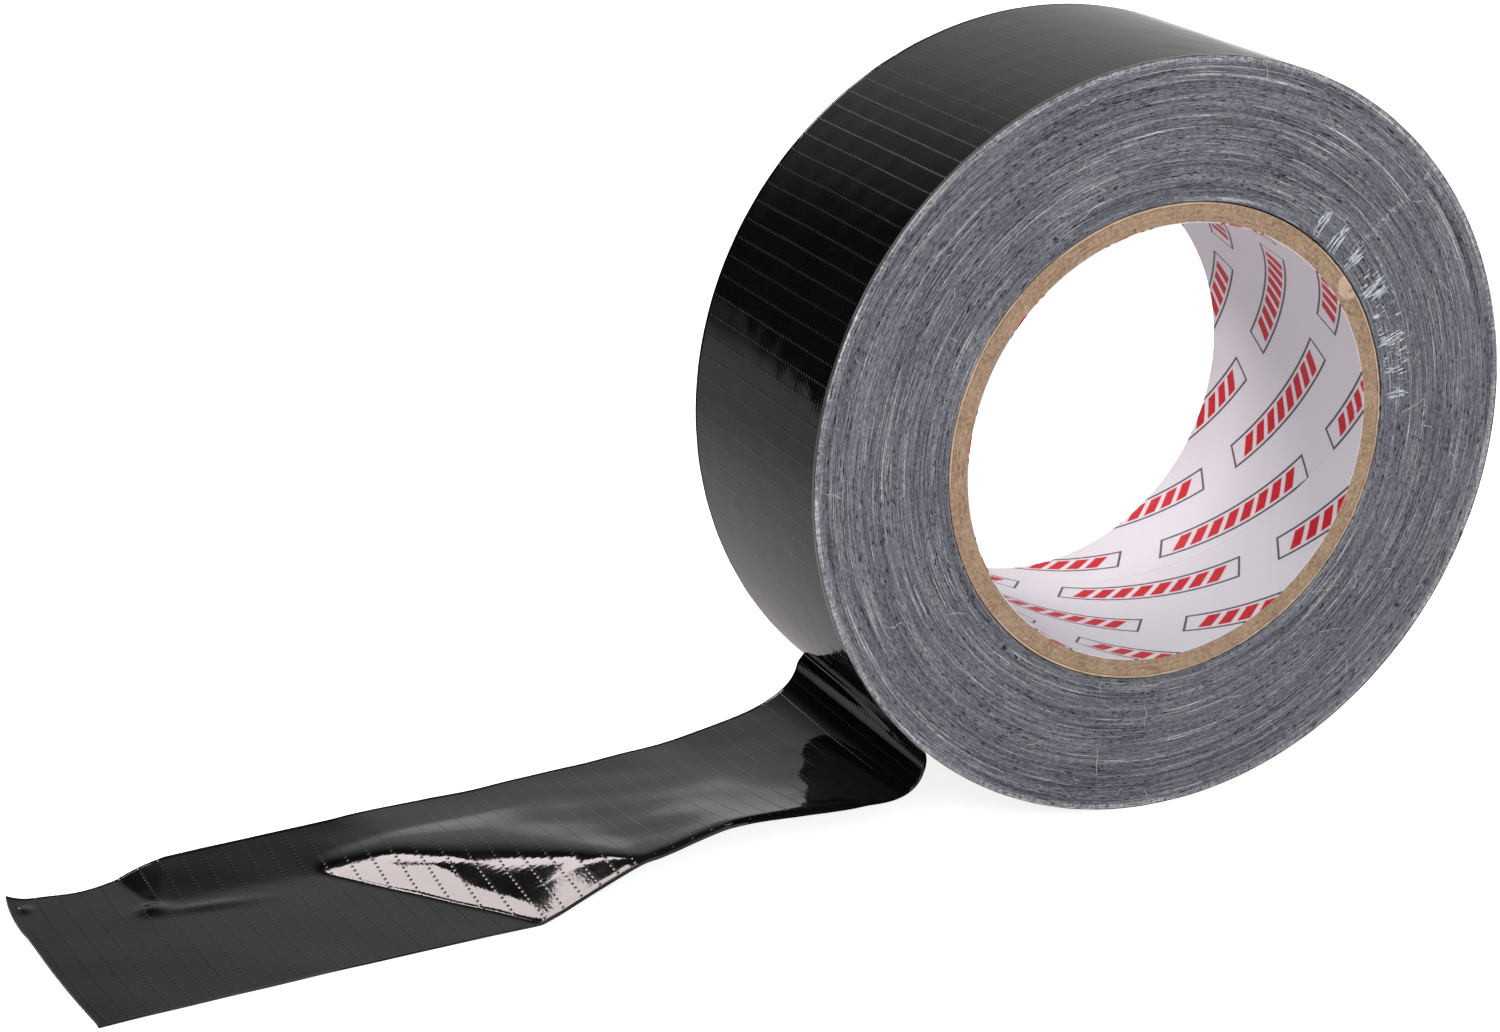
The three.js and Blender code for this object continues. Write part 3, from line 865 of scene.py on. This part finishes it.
corePlies = []
innerFace = coreShape["boreRadius"] + coreShape["linerThickness"] + coreShape["glue"]
for number in range(1, coreShape["plies"] + 1):
    seamAt = coreShape["outerSeam"] + (coreShape["plies"] - number) * coreShape["stagger"]
    outerFace = innerFace + coreShape["plyThickness"]
    corePlies.append(tubePiece(f"core_board_{number}", innerFace, outerFace, seamAt,
                               coreShape["seam"], board, 300, coreShape["roughEnd"], number, None))
    innerFace = outerFace + coreShape["glue"]
liner = tubePiece("printed_liner", coreShape["boreRadius"],
                  coreShape["boreRadius"] + coreShape["linerThickness"],
                  coreShape["outerSeam"] + coreShape["plies"] * coreShape["stagger"],
                  0.1 * mm, printed, 300, 0, 11, "linerUv")
print("core made")


# Loose fibres
# length, thickness, curl, inner and outer in millimetres, turn in degrees; heading is "any",
# or "across" for fibres that lie straight out from the axis
allRound, dragTurns = [(0, 360)], [(36.5, 39), (42.5, 45), (49, 51.5), (58, 62), (71, 73.5),
                                   (79, 80.5)]


def fibreKind(count, length, thickness, curl, lift, inner, outer, turn=allRound, heading="any"):
    return dict(count=count, shortest=length[0] * mm, longest=length[1] * mm, lift=lift,
                thickness=thickness * mm, curl=curl * mm, inner=inner * mm, outer=outer * mm,
                turn=turn, spin=pi if heading == "any" else 0.16)


fibreKinds = dict(
    threads=fibreKind(42, (1.6, 5.0), 0.045, 1.3, 0.25, 43.0, 64.5),
    cutYarns=fibreKind(420, (0.25, 0.8), 0.022, 0.25, 0.12, 42.0, 65.2),
    drags=fibreKind(110, (1.0, 2.8), 0.055, 0.16, 0.10, 43.2, 46.6, dragTurns + [(85, 86.5)],
                    "across"),
    cuts=fibreKind(34, (0.6, 1.6), 0.050, 0.14, 0.10, 43.2, 46.6, dragTurns, "across"),
    rimFuzz=fibreKind(260, (0.3, 1.0), 0.018, 0.3, 0.1, 64.6, 65.5, heading="across"),
    boardFuzz=fibreKind(520, (0.3, 1.0), 0.014, 0.5, 0.2, 38.3, 41.5))


def fibreTree():
    tree, given = startTree("fibres", ("density", "shortest", "longest", "thickness", "curl",
                                       "tilt", "spin"), ("seed",))
    points = geoNode(tree, "DistributePointsOnFaces", {"Mesh": given["Geometry"],
                                                       "Density": given["density"],
                                                       "Seed": given["seed"]})
    line = geoNode(tree, "CurvePrimitiveLine", {"Start": (-0.5, 0, 0), "End": (0.5, 0, 0)})
    line = geoNode(tree, "ResampleCurve", {"Curve": line, "Count": 7})
    length = addNode(tree, "FunctionNodeRandomValue", {2: given["shortest"], 3: given["longest"],
                                                       "Seed": given["seed"]})
    # each fibre starts along the radius that it lies on, then spins and tips a little
    place = geoNode(tree, "InputPosition")
    x, _, z = separate(place)
    outwards = maths("ARCTAN2", minus(z, axisHeight), x)
    spin, tip = (addNode(tree, "FunctionNodeRandomValue",
                         {2: times(given[name], -1.0), 3: given[name],
                          "Seed": seed}).outputs[1] for name, seed in (("spin", 5), ("tilt", 9)))
    # turned about -Y, the way that the angle from X towards Z runs
    turned = combine(0.0, times(plus(outwards, spin), -1.0), tip)
    placed = geoNode(tree, "InstanceOnPoints", {"Points": points, "Instance": line,
                                                "Rotation": turned, "Scale": length.outputs[1]})
    real = geoNode(tree, "RealizeInstances", {"Geometry": placed})
    wave = addNode(tree, "ShaderNodeTexNoise", {"Vector": place, "Scale": 650.0,
                                                "Detail": 1.0}).outputs["Color"]
    away = addNode(tree, "ShaderNodeVectorMath", {0: wave, 1: (0.5, 0.5, 0.5)},
                   operation="SUBTRACT").outputs[0]
    away = addNode(tree, "ShaderNodeVectorMath", {0: away, "Scale": given["curl"]},
                   operation="SCALE").outputs[0]
    bent = geoNode(tree, "SetPosition", {"Geometry": real, "Offset": away})
    profile = geoNode(tree, "CurvePrimitiveCircle", {"Resolution": 4,
                                                     "Radius": given["thickness"]})
    tube = geoNode(tree, "CurveToMesh", {"Curve": bent, "Profile Curve": profile,
                                         "Fill Caps": True})
    return endTree(tree, tube, given["material"])


# The flat ring, or parts of a ring, that the fibres are scattered over
def ringMesh(kind, side):
    vertices, faces, area = [], [], 0
    for first, last in kind["turn"]:
        steps = max(4, int((last - first) / 5))
        angle = np.radians(np.linspace(first, last, steps))
        faces += gridFaces(2, steps, len(vertices), flip=side < 0).tolist()
        for r in (kind["inner"], kind["outer"]):
            vertices += [(r * sin(a), side * (halfWidth + 0.05 * mm),
                          axisHeight + r * cos(a)) for a in angle]
        area += (kind["outer"] ** 2 - kind["inner"] ** 2) / 2 * radians(last - first)
    mesh = bpy.data.meshes.new("ring")
    mesh.from_pydata(vertices, [], faces)
    return mesh, area


def fibrePiece(name, kind, side, seed, material, tree):
    mesh, area = ringMesh(kind, side)
    holder = nodeHolder(name, tree, dict(kind, density=kind["count"] / area, tilt=kind["lift"],
                                         seed=seed, material=material), mesh)
    piece = fromModifier(holder, name, material)
    piece.data.shade_smooth()
    return piece


fibres = fibreTree()
looseFibres = []
for side, sideName in ((-1, "near"), (1, "far")):
    for number, (kindName, kind) in enumerate(fibreKinds.items()):
        if kindName in ("drags", "cuts") and side > 0:
            continue
        look = dict(boardFuzz=board, drags=dragged, cuts=film).get(kindName, cotton)
        looseFibres.append(fibrePiece(f"{kindName}_{sideName}", kind, side, 3 + number, look,
                                      fibres))
print("fibres made:", sum(len(piece.data.polygons) for piece in looseFibres), "faces")


# Floor and light
lightSetup = dict(
    floor=0.72, floorInGloss=0.37, floorFarGloss=0.21, floorSize=1.4, floorGlow=0.85,
    worldFront=0.55, worldAbove=0.10, cardPlace=0.42, cardDark=0.010, cardBright=0.50,
    cardStart=-0.25, cardEnd=0.10, cardSlant=-0.68, cardLevel=0.35, cardGlow=0.72, boxHeight=0.88,
    boxColour=(1.0, 0.88, 0.88), boxPower=50, boxes=[(-0.62, -0.315, 0.18, 0.62),
    (-0.315, -0.25, 0.18, 0.35), (-0.315, -0.17, 0.54, 0.66)], cardOutline=[(-1.3, 0.002),
    (-0.335, 0.002), (-0.285, 0.09), (-0.2, 0.09), (-0.06, 0.07), (-0.03, 0.002), (1.1, 0.002),
    (1.1, 0.50), (-1.3, 0.50)])


def makeFloor(setup):
    material, surface, place = newMaterial("floor", Roughness=0.75, Specular_IOR_Level=0.0,
                                           Emission_Color=(1, 1, 1, 1))
    path = addNode(place.id_data, "ShaderNodeLightPath").outputs
    # the film sees a duller floor than the eye does
    seen = mixColours(noise(place, 6.0, 2.0), grey(setup["floor"]), grey(setup["floor"] * 0.98))
    far = lengthOf(place)
    dull = ranged(far, 0.10, 0.34, setup["floorInGloss"], setup["floorFarGloss"])
    plug(mixColours(path["Is Glossy Ray"], seen, combine(dull, dull, dull)), surface["Base Color"])
    plug(times(path["Is Camera Ray"], setup["floorGlow"]), surface["Emission Strength"])
    size = setup["floorSize"]
    floor = newPiece("floor", [(-size, -size, 0), (size, -size, 0), (size, size, 0),
                               (-size, size, 0)], [(0, 1, 2, 3)], material)
    floor.location.z = -0.02 * mm


# White to the eye. To the light it is dim above and behind, and pale in front.
def makeWorld(setup):
    world = bpy.data.worlds.new("studio")
    bpy.context.scene.world = world
    world.use_nodes = True
    tree = world.node_tree
    direction = addNode(tree, "ShaderNodeTexCoord").outputs["Generated"]
    x, y, z = separate(direction)
    front = ranged(timesPlus(x, -0.45, y), 0.15, -0.35)
    right = ranged(x, 0.25, 0.5, 0.0, 0.9)
    pale = times(larger(front, right), ranged(z, 0.55, 0.85, 1.0, 0.3))
    level = ranged(pale, 0.0, 1.0, setup["worldAbove"], setup["worldFront"], smooth=False)
    level = larger(level, addNode(tree, "ShaderNodeLightPath").outputs["Is Camera Ray"])
    back = addNode(tree, "ShaderNodeBackground", {"Color": (1, 1, 1, 1), "Strength": level})
    plug(back.outputs[0], tree.nodes["World Output"].inputs[0])


# A reflector card behind, dark to the left and fading to pale on the right
def makeCard(setup):
    material = bpy.data.materials.new("reflector_card")
    material.use_nodes = True
    tree = material.node_tree
    tree.nodes.remove(tree.nodes["Principled BSDF"])
    place = addNode(tree, "ShaderNodeTexCoord").outputs["Object"]
    x, _, z = separate(place)
    rise = times(minus(z, setup["cardLevel"]), setup["cardSlant"])
    level = ranged(plus(x, rise), setup["cardStart"], setup["cardEnd"], 0.0, setup["cardBright"])
    level = timesPlus(level, ranged(x, -0.25, -0.15), setup["cardDark"])
    # its foot is brighter
    foot = times(ranged(z, 0.07, 0.17, setup["cardGlow"], 0.0), ranged(x, -0.12, 0.0))
    glow = addNode(tree, "ShaderNodeEmission", {"Strength": larger(level, foot)})
    plug(glow.outputs[0], tree.nodes["Material Output"].inputs[0])
    outline = setup["cardOutline"]
    card = newPiece("reflector_card", [(x, setup["cardPlace"], z) for x, z in outline],
                    [tuple(range(len(outline)))], material)
    card.visible_camera = card.visible_diffuse = card.visible_shadow = False
    card.visible_transmission = False


def areaLight(name, azimuth, elevation, distance, size, power, glossy=False):
    data = bpy.data.lights.new(name, "AREA")
    data.shape = "RECTANGLE"
    (data.size, data.size_y), data.energy = size, power
    light = newObject(name, data)
    a, e = radians(azimuth), radians(elevation)
    towards = Vector((sin(a) * cos(e), cos(a) * cos(e), sin(e)))
    light.location = Vector((-0.03, 0, 0.03)) + towards * distance
    light.rotation_mode = "QUATERNION"
    light.rotation_quaternion = towards.to_track_quat("Z", "Y")
    light.visible_camera = False
    light.visible_glossy = glossy
    return light


# The soft light overhead shows in the sloping face of the strip. Each part of it is a
# rectangle: left, right, front and back. Power is for each square metre.
def softbox(setup):
    for number, (left, right, front, back) in enumerate(setup["boxes"], 1):
        wide, deep = right - left, back - front
        light = areaLight(f"softbox_{number}", 0, 90, 1.0, (wide, deep),
                          setup["boxPower"] * wide * deep, glossy=True)
        light.location = ((left + right) / 2, (front + back) / 2, setup["boxHeight"])
        light.rotation_quaternion = (1, 0, 0, 0)
        light.data.color = setup["boxColour"]


makeFloor(lightSetup)
makeWorld(lightSetup)
makeCard(lightSetup)
softbox(lightSetup)
areaLight("fillAbove", 0, 88, 1.3, (1.6, 1.6), 10)
areaLight("fillFront", 200, 40, 1.4, (1.2, 0.8), 12)
bpy.context.scene.view_settings.view_transform = "Standard"

# Fix the roll's pieces to the roll; the tape's layers keep their place unattached, and the CAD
# parts that the new pieces stand in for are hidden
for piece in [woundLaps, liner] + corePlies + looseFibres:
    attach(piece, "roll")
for piece, layer, slot in ((tapeFilm, "film", "backing_film"),
                           (tapeScrim, "scrim", "scrim_cloth"),
                           (tapeAdhesive, "adhesive", "adhesive")):
    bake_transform(piece)
    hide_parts(f"outer_lap_{layer}", f"free_end_{layer}")
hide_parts("wound_laps")
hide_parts("core_liner")
for number, piece in enumerate(corePlies, 1):
    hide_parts(f"core_ply_{number}")
